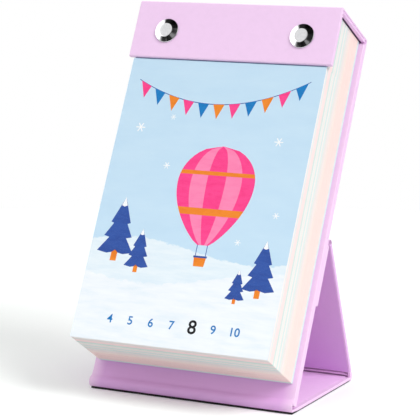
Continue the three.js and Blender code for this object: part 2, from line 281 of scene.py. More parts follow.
class Graph:
    """A node tree that is built by short calls."""

    def __init__(self, tree):
        self.tree = tree

    def node(self, kind, settings=None, **inputs):
        """Adds a node. An input is a value or another node's output."""
        node = self.tree.nodes.new("ShaderNode" + kind)
        for name, value in (settings or {}).items():
            setattr(node, name, value)
        for name, value in inputs.items():
            self.join(value, self.socket(node, name))
        return node

    def socket(self, node, name):
        """The enabled input of that name. Shader__1 is the second of those called Shader."""
        name, _, order = name.partition("__")
        found = [s for s in node.inputs if s.enabled and s.name.replace(" ", "_") == name]
        return found[int(order or 0)]

    def join(self, value, socket):
        """Links an output to an input, or sets the input to a value."""
        if isinstance(value, bpy.types.Node):
            value = next(output for output in value.outputs if output.enabled)
        if isinstance(value, bpy.types.NodeSocket):
            self.tree.links.new(value, socket)
        else:
            socket.default_value = value

    def math(self, operation, first, second=0.0, third=0.0, clamp=False):
        node = self.node("Math", {"operation": operation, "use_clamp": clamp})
        for socket, value in zip(node.inputs, (first, second, third)):
            self.join(value, socket)
        return node

    def blend(self, share, first, second, kind="MIX"):
        """Mixes two colours."""
        node = self.node("Mix", {"data_type": "RGBA", "blend_type": kind})
        self.join(share, node.inputs[0])
        self.join(first, self.socket(node, "A"))
        self.join(second, self.socket(node, "B"))
        return node

    def ramp(self, share, *stops):
        """A colour ramp with stops of a place and a colour."""
        node = self.node("ValToRGB", Fac=share)
        elements = node.color_ramp.elements
        while len(elements) < len(stops):
            elements.new(0.5)
        for element, (place, colour) in zip(elements, stops):
            element.position = place
            element.color = colour
        return node.outputs["Color"]

    def scaled(self, share, low, high, from_low=0.0, from_high=1.0):
        """A value that runs from low to high while the share runs from from_low to from_high."""
        limits = {"To_Min": low, "To_Max": high, "From_Min": from_low, "From_Max": from_high}
        return self.node("MapRange", Value=share, **limits).outputs["Result"]

    def noise(self, point, scale, detail=2.0, roughness=0.5, distortion=0.0):
        """Noise whose features are about 1 / scale millimetres wide."""
        settings = {"Detail": detail, "Roughness": roughness, "Distortion": distortion}
        return self.node("TexNoise", Vector=point, Scale=scale, **settings).outputs["Fac"]


class Finish(Graph):
    """A material."""

    def __init__(self, name, **settings):
        self.material = bpy.data.materials.new(name)
        self.material.use_nodes = True
        super().__init__(self.material.node_tree)
        self.coat(**settings)

    def coat(self, **inputs):
        """Sets the surface's own sockets, and returns the material."""
        surface = self.tree.nodes["Principled BSDF"]
        for name, value in inputs.items():
            self.join(value, surface.inputs[name.replace("_", " ")])
        return self.material

    def place(self, *stretch):
        """The point on the object in millimetres, stretched along each axis."""
        point = self.node("TexCoord").outputs["Object"]
        scale = tuple(factor / MM for factor in stretch or (1, 1, 1))
        return self.node("Mapping", Vector=point, Scale=scale).outputs["Vector"]

    def attribute(self, name, output="Fac"):
        return self.node("Attribute", {"attribute_name": name}).outputs[output]

    def bump(self, *layers):
        """Bumps, one over the other, from pairs of a height field and its depth in millimetres."""
        below = {}
        for height, depth in layers:
            node = self.node("Bump", Height=height, Strength=1.0, Distance=depth * MM, **below)
            below = {"Normal": node.outputs["Normal"]}
        self.coat(**below)


def bookcloth(name, colour, painted_edge_colour, roughness=0.62, middle=None):
    """Coloured binding paper: mottled, with fine fibres, and another colour painted along folded edges,
    lighter as a painted highlight and, on the strut, darker as painted shade.

    It may have a second colour in its middle, fading out towards its sides, with which shade is painted. That
    colour comes with an axis, and with the distances along it, either way from the middle of the base, at
    which the colour starts and stops fading.
    """
    finish = Finish(name, Specular_IOR_Level=0.28)
    point = finish.place()
    mottle = finish.noise(point, 0.35, detail=6, roughness=0.6)
    fibres = finish.noise(finish.place(1, 0.16, 0.16), 5.0, detail=3, roughness=0.65)
    cross_fibres = finish.noise(finish.place(0.16, 1, 1), 5.0, detail=3, roughness=0.65)
    tooth = finish.noise(point, 3.2, detail=5, roughness=0.7)
    darker = tuple(channel * 0.98 for channel in colour[:3]) + (1,)
    paler = tuple(min(1.0, channel * 1.012) for channel in colour[:3]) + (1,)
    shade = finish.ramp(mottle, (0.3, darker), (0.5, colour), (0.72, paler))
    shade = finish.blend(finish.scaled(fibres, 0.0, 0.16, 0.5, 0.8), shade, paler)
    # A second colour that fades in from the middle along one axis: painted shade
    if middle:
        middle_colour, axis, start, end = middle
        away = finish.math("ABSOLUTE", finish.node("SeparateXYZ", Vector=point).outputs[axis])
        inward = finish.math("MULTIPLY", finish.scaled(away, 1.0, 0.0, start, end), 1.0, clamp=True)
        shade = finish.blend(inward, shade, middle_colour)
    # The edge colour's share: painted light or shade along folded edges, made ragged by the paper's tooth
    painted_edge_share = finish.scaled(tooth, 0.55, 1.0, 0.3, 0.7)
    painted_edge_share = finish.math("MULTIPLY", finish.attribute("edge"), painted_edge_share, clamp=True)
    finish.bump((tooth, 0.02), (fibres, 0.018), (cross_fibres, 0.012))
    return finish.coat(
        Base_Color=finish.blend(painted_edge_share, shade, painted_edge_colour),
        Roughness=finish.scaled(tooth, roughness - 0.07, roughness + 0.1),
    )


LILAC = linear(245, 211, 245)
# Deeper lilac over the middle of the front board and foot lip: painted shade, as under the pad
LILAC_PAINTED_SHADE = linear(227, 177, 233)
# Lighter lilac along folded edges: a painted highlight
LILAC_EDGE_HIGHLIGHT = linear(247, 216, 247)
# Deeper lilac on the strut's ends and folded edges: painted shade on faces that the key light strikes
STRUT_EDGE_PAINTED_SHADE = linear(232, 190, 238)
LINING = linear(251, 212, 252)
# The strut's lining is the same paper as LINING, painted darker as shade, and darker still towards its foot
STRUT_LINING_PAINTED_SHADE = linear(235, 189, 241)
STRUT_LINING_FOOT_SHADE = linear(224, 176, 236)
# Lighter lining along folded edges: a painted highlight
LINING_EDGE_HIGHLIGHT = linear(251, 218, 252)
# Dark purple for the sheet under the spine: painted shade in the gap above the pad
SPINE_SHADE = linear(92, 66, 104)
SPINE_SHADE_EDGE_HIGHLIGHT = linear(110, 82, 122)
LINING_ROUGHNESS = 0.7

cover_paper = bookcloth("cover_paper", LILAC, LILAC_EDGE_HIGHLIGHT)
# The front paper is painted deeper over its middle, as the shade below the pad
front_paper = bookcloth("front_paper", LILAC, LILAC_EDGE_HIGHLIGHT, middle=(LILAC_PAINTED_SHADE, "X", 46, 52))
# The strut's paper is plain lilac in the middle and painted deeper at its ends and folded edges, as shade
strut_paper = bookcloth("strut_paper", STRUT_EDGE_PAINTED_SHADE, STRUT_EDGE_PAINTED_SHADE, middle=(LILAC, "X", 51.6, 52.2))
lining_paper = bookcloth("lining_paper", LINING, LINING_EDGE_HIGHLIGHT, LINING_ROUGHNESS)
# The strut's lining: painted shade, darker than the other lining and deeper near the joint
strut_lining_paper = bookcloth(
    "strut_lining_paper", STRUT_LINING_PAINTED_SHADE, LINING_EDGE_HIGHLIGHT, LINING_ROUGHNESS, middle=(STRUT_LINING_FOOT_SHADE, "Z", 2, 40)
)
# The dark sheet under the spine paints the shade in the gap above the pad
spine_tape = bookcloth("spine_tape", SPINE_SHADE, SPINE_SHADE_EDGE_HIGHLIGHT, roughness=0.8)


def board_finish(name, *shades):
    """Bare pressed board with flecks of fibre, in three shades from dark to light."""
    finish = Finish(name, Specular_IOR_Level=0.2, Roughness=0.95)
    flecks = finish.noise(finish.place(1, 1, 3), 2.5, detail=6, roughness=0.8)
    finish.bump((flecks, 0.05))
    return finish.coat(Base_Color=finish.ramp(flecks, *zip((0.3, 0.5, 0.75), shades)))


def magnet_finish():
    """Nickel plate with a drawn, slightly cloudy surface."""
    finish = Finish("magnet", Metallic=1.0)
    cloud = finish.noise(finish.place(), 1.2, detail=4)
    colour = finish.ramp(cloud, (0.3, linear(150, 152, 156)), (0.7, linear(186, 188, 192)))
    return finish.coat(Base_Color=colour, Roughness=finish.scaled(cloud, 0.25, 0.42))


def chrome_finish():
    """Polished plate with faint swirls."""
    finish = Finish("chrome", Metallic=1.0)
    cloud = finish.noise(finish.place(), 0.9, detail=5, roughness=0.6)
    colour = finish.ramp(cloud, (0.3, linear(214, 214, 216)), (0.7, linear(224, 224, 226)))
    finish.bump((finish.noise(finish.place(), 9.0, detail=3), 0.0008))
    return finish.coat(Base_Color=colour, Roughness=finish.scaled(cloud, 0.05, 0.09, 0.3, 0.7))


def leaf_finish():
    """Cut edges of the leaves, tinted where a leaf's print bleeds off its edge."""
    finish = Finish("leaf_paper", Specular_IOR_Level=0.2, Roughness=0.85)
    along = finish.noise(finish.place(0.6, 0.6, 0.05), 4.0, detail=4, roughness=0.6)
    sheets = finish.noise(finish.place(6, 6, 0.06), 2.0, detail=3)
    tint = finish.attribute("tint", "Color")
    shade = finish.blend(finish.scaled(along, 0.0, 0.35, 0.45, 0.75), tint, linear(250, 248, 244))
    shade = finish.blend(finish.scaled(sheets, 0.0, 0.22, 0.5, 0.8), shade, linear(214, 224, 220))
    finish.bump((sheets, 0.02))
    return finish.coat(Base_Color=shade)


def page_finish():
    """A printed leaf: a pale sky over two drifts of snow, in broad dry brush strokes."""
    finish = Finish("page_print", Specular_IOR_Level=0.25)
    page = finish.node("UVMap", {"uv_map": "page"}).outputs["UV"]
    apart = finish.node("SeparateXYZ", Vector=page).outputs

    def strokes(stretch, scale):
        point = finish.node("Mapping", Vector=page, Scale=(1, stretch, 1)).outputs["Vector"]
        return finish.noise(point, scale, detail=5, roughness=0.62)

    rough = strokes(2.5, 26)
    sky = finish.ramp(strokes(4, 3), (0.35, linear(195, 224, 244)), (0.65, linear(201, 228, 246)))
    wisps = strokes(7, 5)
    far_snow = finish.ramp(wisps, (0.35, linear(224, 239, 248)), (0.6, linear(234, 245, 251)))
    near_snow = finish.ramp(
        wisps,
        (0.32, linear(232, 242, 249)),
        (0.5, linear(241, 247, 252)),
        (0.7, linear(246, 251, 253)),
    )

    def drift(height, swell, waves, phase, ragged):
        """A snowy rise: where the page lies below a wavy line."""
        wave = finish.math("SINE", finish.math("MULTIPLY_ADD", apart["X"], waves, phase))
        line = finish.math("MULTIPLY_ADD", wave, swell, height)
        line = finish.math("ADD", line, finish.scaled(rough, -ragged, ragged, 0.3, 0.7))
        return finish.math("MULTIPLY", finish.math("SUBTRACT", line, apart["Y"]), 220, clamp=True)

    picture = finish.blend(drift(0.335, 0.03, 5.2, 0.4, 0.006), sky, far_snow)
    picture = finish.blend(drift(0.245, 0.035, 4.4, 3.4, 0.007), picture, near_snow)
    tooth = finish.noise(finish.place(), 4.0, detail=4, roughness=0.7)
    finish.bump((tooth, 0.003))
    return finish.coat(
        Base_Color=finish.blend(finish.attribute("printed"), linear(250, 250, 247), picture),
        Roughness=finish.scaled(tooth, 0.5, 0.66),
    )


def ink(name, colour, deeper, coverage=0.6):
    """Printed paint: broad soft strokes of two tones and a fine dry grain."""
    finish = Finish("ink_" + name, Specular_IOR_Level=0.2)
    strokes = finish.noise(finish.place(0.25, 1, 0.7), 0.5, detail=5, roughness=0.6, distortion=0.6)
    grain = finish.noise(finish.place(), 3.5, detail=4, roughness=0.75)
    shade = finish.blend(finish.scaled(strokes, 0.0, coverage, 0.42, 0.7), colour, deeper)
    shade = finish.blend(finish.scaled(grain, 0.0, 0.12, 0.55, 0.8), shade, linear(255, 250, 245))
    return finish.coat(Base_Color=shade, Roughness=finish.scaled(grain, 0.48, 0.64))


greyboard = board_finish("greyboard", linear(128, 120, 110), linear(160, 152, 141), linear(181, 174, 164))
# Near-black board for the strips under the base: painted shade, the contact shadow along its edges
strip_board = board_finish("strip_board", linear(36, 34, 36), linear(48, 46, 48), linear(60, 57, 60))
magnet = magnet_finish()
chrome = chrome_finish()
leaf_paper = leaf_finish()
page_print = page_finish()
inks = {
    "pink": ink("pink", linear(255, 72, 146), linear(246, 50, 128)),
    "rose": ink("rose", linear(255, 140, 184), linear(250, 118, 170)),
    "orange": ink("orange", linear(243, 140, 42), linear(226, 112, 28)),
    "navy": ink("navy", linear(52, 88, 168), linear(38, 68, 146)),
    "blue": ink("blue", linear(20, 126, 196), linear(14, 106, 178)),
    "white": ink("white", linear(252, 253, 254), linear(240, 246, 250)),
    "black": ink("black", linear(18, 18, 22), linear(34, 34, 40), coverage=0.3),
}


# Geometry


def new_shape():
    """An empty shape, with a value on each point for how much it lies on a folded edge."""
    shape = bmesh.new()
    shape.verts.layers.float.new("edge")
    return shape


def rounded(corners, steps=5):
    """An outline of points (y, z, edge), from corners (y, z, radius)."""
    outline = []
    for index, (y, z, radius) in enumerate(corners):
        corner = Vector((y, z))
        if radius <= 0:
            outline.append((y, z, 0.0))
            continue
        before = (Vector(corners[index - 1][:2]) - corner).normalized()
        after = (Vector(corners[(index + 1) % len(corners)][:2]) - corner).normalized()
        half = before.angle(after) / 2
        centre = corner + (before + after).normalized() * (radius / math.sin(half))
        start = corner + before * (radius / math.tan(half)) - centre
        end = corner + after * (radius / math.tan(half)) - centre
        turn = start.angle_signed(end)
        for step in range(steps + 1):
            share = step / steps
            spoke = Matrix.Rotation(-turn * share, 2) @ start
            outline.append((centre.x + spoke.x, centre.y + spoke.y, math.sin(math.pi * share)))
    return outline


def inset(outline, distance):
    """The outline drawn in by a distance."""
    points = [Vector(point[:2]) for point in outline]
    area = sum(a.cross(b) for a, b in zip(points, points[1:] + points[:1]))
    side = 1 if area > 0 else -1
    drawn = []
    for index, point in enumerate(points):
        before = (point - points[index - 1]).normalized()
        after = (points[(index + 1) % len(points)] - point).normalized()
        normals = [Vector((-way.y, way.x)) * side for way in (before, after)]
        reach = (normals[0] + normals[1]) / max(0.3, 1 + normals[0].dot(normals[1]))
        drawn.append(point + reach * distance)
    return drawn


def clad(shape, rings, capped=True):
    """Faces between rings of points, and over the first and the last ring."""
    for ring, following in zip(rings, rings[1:]):
        for index in range(len(ring)):
            after = (index + 1) % len(ring)
            shape.faces.new((ring[index], ring[after], following[after], following[index]))
    if capped:
        shape.faces.new(rings[0])
        shape.faces.new(rings[-1])


def sweep(shape, outline, left, right, rounding=BOARD_ROUND, steps=4):
    """A prism across the calendar whose two ends are rounded off."""
    edge = shape.verts.layers.float["edge"]
    stations = []
    for step in range(steps + 1):
        angle = math.pi / 2 * (1 - step / steps)
        inward = rounding * (1 - math.sin(angle))
        stations.append((inward, rounding * (1 - math.cos(angle)), math.sin(2 * angle)))
    along = [(left + inward, draw, crease) for inward, draw, crease in stations]
    along += [(right - inward, draw, crease) for inward, draw, crease in reversed(stations)]
    rings = []
    for x, draw, crease in along:
        ring = []
        for point, (_, _, own) in zip(inset(outline, draw), outline):
            vertex = shape.verts.new((x, point.x, point.y))
            vertex[edge] = max(crease, own)
            ring.append(vertex)
        rings.append(ring)
    clad(shape, rings)


def slab(shape, low, high, radius=BOARD_ROUND):
    """A board with all its edges rounded."""
    corners = [
        (low.y, low.z, radius),
        (high.y, low.z, radius),
        (high.y, high.z, radius),
        (low.y, high.z, radius),
    ]
    sweep(shape, rounded(corners), low.x, high.x, radius)


def lathe(shape, profile, steps=96):
    """A turned form about the Y axis, from its profile of radius and y."""
    turns = [2 * math.pi * step / steps for step in range(steps)]
    spokes = [(math.cos(turn), math.sin(turn)) for turn in turns]
    rings = []
    for radius, y in profile:
        used = spokes if radius else spokes[:1]
        rings.append([shape.verts.new((radius * x, y, radius * z)) for x, z in used])
    for ring, following in zip(rings, rings[1:]):
        for index in range(steps):
            after = (index + 1) % steps
            corners = [ring[index % len(ring)], ring[after % len(ring)]]
            corners += [following[after % len(following)], following[index % len(following)]]
            distinct = list(dict.fromkeys(corners))
            if len(distinct) > 2:
                shape.faces.new(distinct)


def smooth_curve(points, steps=5):
    """Points of a smooth curve through the given ones."""
    ends = [points[0] * 2 - points[1]] + points + [points[-1] * 2 - points[-2]]
    curve = []
    for before, start, end, after in zip(ends, ends[1:], ends[2:], ends[3:]):
        for step in range(steps):
            share = step / steps
            square = (before * 2 - start * 5 + end * 4 - after) * share ** 2
            cube = (start * 3 - before - end * 3 + after) * share ** 3
            curve.append((start * 2 + (end - before) * share + square + cube) / 2)
    return curve + [points[-1]]


def sheet_outline(path, first, second, crease=0.0):
    """The outline of a bent sheet: its two faces lie at these distances from a path of points (y, z)."""
    faces = ([], [])
    for index, point in enumerate(path):
        way = path[min(len(path) - 1, index + 1)] - path[max(0, index - 1)]
        normal = Vector((-way.y, way.x)).normalized()
        for face, distance, edge in zip(faces, (first, second), (crease, 0.0)):
            face.append((*(point + normal * distance), edge))
    return faces[0] + faces[1][::-1]


def make(name, shape, place, material, sharp=35):
    """An object from a shape whose points are millimetres in one of the frames."""
    bmesh.ops.recalc_face_normals(shape, faces=shape.faces)
    mesh = bpy.data.meshes.new(name)
    shape.to_mesh(mesh)
    shape.free()
    mesh.transform(Matrix.Scale(MM, 4) @ place)
    mesh.materials.append(material)
    mesh.shade_smooth()
    mesh.set_sharp_from_angle(angle=math.radians(sharp))
    made = link(name, mesh)
    weighted = made.modifiers.new("weighted", "WEIGHTED_NORMAL")
    weighted.keep_sharp = True
    return made


def dress(made, body, slot, *nodes):
    """The object rides on a body and stands for CAD nodes. It has no single body if it was blended."""
    if body:
        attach(made, body)
    if nodes:
        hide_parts(*nodes)


def add_board(name, place, low, high, material, body, slot, *nodes, radius=BOARD_ROUND):
    """A board or a flat sheet."""
    shape = new_shape()
    slab(shape, low, high, radius)
    dress(make(name, shape, place, material), body, slot, *nodes)


def add_prism(name, place, corners, ends, material, body, slot, *nodes, rounding=BOARD_ROUND, steps=4):
    """A piece of one section, with corners (y, z, radius), between two ends."""
    shape = new_shape()
    sweep(shape, rounded(corners), *ends, rounding, steps)
    dress(make(name, shape, place, material), body, slot, *nodes)


def add_fold(name, place, outline, ends, rounding, steps, material, bodies, start, end, *nodes, sharp=50):
    """A piece of paper that bends between two bodies, from one point (y, z) of a frame to another."""
    shape = new_shape()
    sweep(shape, outline, *ends, rounding, steps)
    made = make(name, shape, place, material, sharp)
    start, end = [tuple(place @ Vector((0, *point)) * MM) for point in (start, end)]
    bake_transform(made, *bodies, start=start, end=end)
    dress(made, None, "fold_paper", *nodes)


# Case

case_low, case_high = extent("cover_wrap", LEANING)
front_low, front_high = extent("front_wrap", LEANING)
base_low, base_high = extent("base_wrap", UPRIGHT)
strut_low, strut_high = extent("strut_wrap", STRUT)
header_foot = extent("header_board", LEANING)[0].z - PAPER - GLUE
header_front = case_low.y
header_rear = header_front + HEADER_THICKNESS
rear_face = case_high.y
joint_plane = front_high.y
back_height = extent("rear_board", LEANING)[1].z + PAPER + GLUE
spine_rear = back_height + SPINE_RISE_REAR
spine_slope = (case_high.z + SPINE_RISE_FRONT - spine_rear) / (rear_face - header_front)
strut_pivot = (strut_high.y, 0)
strut_pivot_end = tuple(strut_tilt @ Vector(strut_pivot))


def spine_top(y):
    """How high the spine's sloping top is at a depth in the back's frame."""
    return spine_rear + spine_slope * (rear_face - y)


def add_cover_case():
    """Header, spine and rear board under one sheet of paper, with a groove at each hinge."""
    front_top, rear_top = spine_top(header_rear), spine_top(rear_face)
    under = rear_top - SPINE_THICKNESS
    groove = under - HINGE_GAP
    inner_rear = rear_face - OUTER_PLY
    corners = [
        (header_front, header_foot, LIP_ROUND),
        (header_rear, header_foot, BOARD_ROUND),
        (header_rear, front_top - SPINE_THICKNESS + PAPER, GROOVE_ROUND),
        (header_rear - HEADER_CHAMFER, front_top - OUTER_PLY, 0.2),
        (inner_rear, rear_top - OUTER_PLY, 0.2),
        (inner_rear, groove, 0.15),
        (joint_plane + GLUE, groove, GROOVE_ROUND),
        (joint_plane + GLUE, case_low.z, GROOVE_ROUND),
        (rear_face, case_low.z, BOARD_ROUND),
        (rear_face, rear_top, LIP_ROUND),
        (header_front, spine_top(header_front), LIP_ROUND),
    ]
    ends = (case_low.x, case_high.x)
    paper = (cover_paper, "root", "cover_paper")
    add_prism("case_cover", LEANING, corners, ends, *paper, "cover_wrap", rounding=CASE_ROUND)
    front, rear = header_rear + SPINE_LINING_INSETS[0], inner_rear - SPINE_LINING_INSETS[1]
    corners = [
        (front, front_top - OUTER_PLY + PAPER, 0.0),
        (front, front_top - SPINE_THICKNESS, BOARD_ROUND),
        (rear, under + 0.05, BOARD_ROUND),
        (rear, rear_top - OUTER_PLY + PAPER, 0.0),
    ]
    ends = (case_low.x + SPINE_RECESS, case_high.x - SPINE_RECESS)
    add_prism("spine_lining", LEANING, corners, ends, lining_paper, "root", "lining_paper")
    front, rear = header_rear + SPINE_CORE_INSETS[0], inner_rear - SPINE_CORE_INSETS[1]
    corners = [
        (front, front_top - SPINE_THICKNESS + SPINE_CORE_HIGH, 0.0),
        (front, front_top - SPINE_THICKNESS + SPINE_CORE_LOW, 0.0),
        (rear, under + SPINE_CORE_LOW, 0.0),
        (rear, under + SPINE_CORE_HIGH, 0.0),
    ]
    ends = (case_low.x + SPINE_CORE_INSET, case_high.x - SPINE_CORE_INSET)
    board = (greyboard, "root", "greyboard")
    add_prism("spine_core", LEANING, corners, ends, *board, "spine_board", rounding=0.05, steps=1)
    low, high = extent("rear_board", LEANING)
    low += Vector((PAPER, GLUE, GLUE))
    high = Vector((high.x - PAPER, high.y, groove - BOARD_ROUND))
    add_board("rear_core", LEANING, low, high, *board, "rear_board", radius=CORE_ROUND)


def add_cover_lining():
    """The paper inside the header, and a dark sheet under the spine that paints the shade in the gap above
    the pad.
    """
    low, high = extent("cover_lining", LEANING)
    under = SPINE_THICKNESS + LINING_STEP
    header_top = spine_top(header_rear) - under
    low.y = header_rear - GLUE
    high = Vector((high.x, header_rear + LINING_STEP, header_top))
    paper = (lining_paper, "root", "lining_paper")
    add_board("case_lining", LEANING, low, high, *paper, "cover_lining", radius=THIN_ROUND)
    # A dark sheet painted as shade: it darkens the gap between the pad and the spine
    shade_end = rear_face - OUTER_PLY - SPINE_SHADE_SHORT
    shade_low = spine_top(shade_end) - under
    corners = [
        (header_rear + GLUE, header_top, THIN_ROUND),
        (shade_end, shade_low, THIN_ROUND),
        (shade_end, shade_low + PAPER, THIN_ROUND),
        (header_rear + GLUE, header_top + PAPER, THIN_ROUND),
    ]
    ends = (-SPINE_SHADE_HALF_WIDTH, SPINE_SHADE_HALF_WIDTH)
    shade_sheet = (spine_tape, "root", "lining_paper")
    add_prism("spine_tape", LEANING, corners, ends, *shade_sheet, rounding=THIN_ROUND, steps=2)


def add_front_board():
    """The front half of the back: its paper shows beside the pad and below it."""
    high = front_high - Vector((0, LINING_STEP, 0))
    # Its paper is painted deeper over the middle, as the shade below the pad
    paper = (front_paper, "root", "cover_paper")
    add_board("front_cover", LEANING, front_low, high, *paper, "front_wrap", radius=FRONT_ROUND)


def add_foot_lip():
    """The round lip in front of the foot fold, which turns under to the base."""
    tilt = Matrix.Rotation(LEAN, 2)
    points = [tilt @ Vector((-forward, height - FOOT_FOLD.z)) for forward, height in LIP_CURVE]
    outline = sheet_outline(smooth_curve(points), 0, LIP_PAPER)
    ends = (case_low.x, case_high.x)
    outer = LIP_CURVE[-3][0]
    start, end = (-outer, LIP_BEND_START), (-outer * math.cos(LEAN), -outer * math.sin(LEAN))
    look = (LIP_EDGE_ROUND, 3, front_paper)
    add_fold("foot_lip", LEANING, outline, ends, *look, ("root", "base"), start, end, "foot_fold")


def add_base():
    """The base: board and paper on thin strips painted near-black as the contact shadow under its edges, and
    a lining that turns up into the rear joint.
    """
    low, high = base_low, base_high
    corners = [
        (low.y + TOE_DEPTH, low.z + EDGE_LIFT, TOE_ROUND),
        (high.y, low.z + EDGE_LIFT, EDGE_ROUND),
        (high.y, high.z, EDGE_ROUND),
        (low.y, high.z, BOARD_ROUND),
        (low.y, low.z + TOE_LIFT, BOARD_ROUND),
    ]
    paper = (cover_paper, "base", "cover_paper")
    add_prism("base_cover", UPRIGHT, corners, (low.x, high.x), *paper, "base_wrap")
    strips = new_shape()
    edge_top = low.z + EDGE_LIFT + GLUE
    side = rounded(
        [
            (low.y, low.z, STRIP_ROUND),
            (high.y - FOOT_INSET, low.z, STRIP_ROUND),
            (high.y - FOOT_INSET, edge_top, 0.0),
            (low.y + TOE_DEPTH, edge_top, 0.0),
            (low.y, low.z + TOE_LIFT + GLUE, 0.0),
        ]
    )
    left, right = low.x + FOOT_INSET, high.x - FOOT_INSET
    for ends in ((left, left + STRIP_WIDTH), (right - STRIP_WIDTH, right)):
        sweep(strips, side, *ends, STRIP_ROUND, 2)
    front_low_corner = Vector((left + STRIP_WIDTH, low.y, low.z))
    front_high_corner = Vector((right - STRIP_WIDTH, low.y + STRIP_WIDTH, low.z + TOE_LIFT))
    slab(strips, front_low_corner, front_high_corner, STRIP_ROUND)
    # The strips are near-black as painted contact shadow
    dress(make("foot_strips", strips, UPRIGHT, strip_board), "base", "greyboard")
    core_low, core_high = extent("base_board", UPRIGHT)
    core_low = Vector((core_low.x, core_low.y + PAPER, low.z + TOE_LIFT + PAPER))
    board = (greyboard, "base", "greyboard")
    add_board("base_core", UPRIGHT, core_low, core_high, *board, "base_board", radius=CORE_ROUND)
    lining_low, lining_high = extent("base_lining", UPRIGHT)
    top = high.z + LINING_STEP
    rise = top + LINING_RISE
    end = high.y - GLUE
    corners = [
        (lining_low.y, high.z - PAPER, SHEET_ROUND),
        (end, high.z - PAPER, SHEET_ROUND),
        (end, rise, 0.06),
        (end - 0.15, rise, 0.06),
        (end - 1.0, top, 0.6),
        (lining_low.y, top, SHEET_ROUND),
    ]
    ends = (lining_low.x, lining_high.x)
    paper = (lining_paper, "base", "lining_paper", "base_lining")
    add_prism("base_lining_paper", UPRIGHT, corners, ends, *paper, rounding=THIN_ROUND, steps=2)


def add_strut():
    """The strut: its board starts above the joint, and its lining runs down to it."""
    low = Vector((strut_low.x, strut_low.y, JOINT_TOP))
    add_board("strut_cover", STRUT, low, strut_high, strut_paper, "strut", "cover_paper", "strut_wrap")
    low, high = extent("strut_board", STRUT)
    low.z = JOINT_TOP + PAPER
    board = (greyboard, "strut", "greyboard")
    add_board("strut_core", STRUT, low, high, *board, "strut_board", radius=CORE_ROUND)
    top = extent("strut_lining", STRUT)[1].z
    low = Vector((strut_low.x + STRUT_BORDER, strut_low.y - LINING_STEP, JOINT_TOP + BOARD_ROUND))
    high = Vector((strut_high.x - STRUT_BORDER, strut_low.y + PAPER, top))
    # The lining sheet is painted darker as shade, more so near the joint
    paper = (strut_lining_paper, "strut", "lining_paper")
    add_board("strut_lining_sheet", STRUT, low, high, *paper, "strut_lining", radius=SHEET_ROUND)


def add_tab():
    """The tab, which rests against the back."""
    low, high = extent("tab_wrap", LEANING)
    add_board("tab_cover", LEANING, low, high, cover_paper, "tab", "cover_paper", "tab_wrap")
    sheet_low, sheet_high = extent("tab_lining", LEANING)
    sheet_low.y = high.y - PAPER
    sheet_high.y = high.y + LINING_STEP
    paper = (lining_paper, "tab", "lining_paper")
    add_board("tab_lining_paper", LEANING, sheet_low, sheet_high, *paper, "tab_lining", radius=SHEET_ROUND)


def add_ridge():
    """The lining bunched up in the joint: a ridge that is thicker towards the calendar's sides, its paper
    painted lighter as a highlight.
    """
    shape = new_shape()
    edge = shape.verts.layers.float["edge"]
    left, right = strut_low.x + RIDGE_SHORT, strut_high.x - RIDGE_SHORT
    stations, turns = 40, 14
    rings = []
    for station in range(stations + 1):
        x = left + (right - left) * station / stations
        half = RIDGE_THIN + (RIDGE_THICK - RIDGE_THIN) * (abs(x) / right) ** 1.3
        closing = max(0.0, (abs(x) - right + half) / half)
        half *= max(0.15, math.sqrt(max(0.0, 1 - closing ** 2)))
        ring = []
        for turn in range(turns):
            angle = 2 * math.pi * turn / turns
            y = strut_low.y + RIDGE_SINK + RIDGE_DEPTH * math.cos(angle)
            vertex = shape.verts.new((x, y, RIDGE_FOOT + half + half * math.sin(angle)))
            # Half the edge colour all over the ridge: a painted highlight
            vertex[edge] = 0.5
            ring.append(vertex)
        rings.append(ring)
    clad(shape, rings)
    dress(make("joint_ridge", shape, STRUT, lining_paper), "strut", "lining_paper")


def arc(y, z, radius, first, last, steps):
    """Points of a circle about a centre, from one angle to another."""
    angles = [first + (last - first) * step / steps for step in range(steps + 1)]
    return [Vector((y + radius * math.cos(angle), z + radius * math.sin(angle))) for angle in angles]


def joint_arc(radius=JOINT_ROUND, steps=10):
    """Points of the round rear edge, from the base's underside to the strut. The joint's pivot is at 0, 0."""
    half_angle = (math.pi / 2 - STRUT_LEAN) / 2
    centre_y = strut_high.y / math.cos(STRUT_LEAN) - JOINT_ROUND / math.tan(half_angle)
    return arc(centre_y, JOINT_ROUND, radius, -math.pi / 2, STRUT_LEAN, steps)


def add_joint_ends():
    """The turned-in paper that closes the joint's two ends."""
    base_rear = base_high.y - REAR_FOLD.y
    inner_top = strut_tilt @ Vector((strut_low.y, JOINT_TOP + JOINT_LAP))
    outer_top = strut_tilt @ Vector((strut_high.y, JOINT_TOP + JOINT_LAP))
    foot_y = strut_low.y / math.cos(STRUT_LEAN) - base_high.z * math.tan(STRUT_LEAN)
    corners = [
        (*outer_top, JOINT_END_ROUND),
        (*inner_top, JOINT_END_ROUND),
        (foot_y, base_high.z + 0.1, 0.2),
        (base_rear - JOINT_LAP, base_high.z - 0.04, 0.0),
        (base_rear - JOINT_LAP, 0.3, 0.0),
    ]
    # The round rear edge gets part of the edge colour: a painted highlight along it
    outline = rounded(corners) + [(*point, 0.3) for point in joint_arc() if point.x > base_rear]
    left_ends = (strut_low.x, strut_low.x + JOINT_END_WIDTH)
    right_ends = (strut_high.x - JOINT_END_WIDTH, strut_high.x)
    bodies = ("base", "strut")
    pivots = (strut_pivot, strut_pivot_end)
    look = (JOINT_END_EDGE_ROUND, 3, cover_paper)
    for side, ends in (("left", left_ends), ("right", right_ends)):
        add_fold("joint_end_" + side, AT_REAR_FOLD, outline, ends, *look, bodies, *pivots, sharp=35)


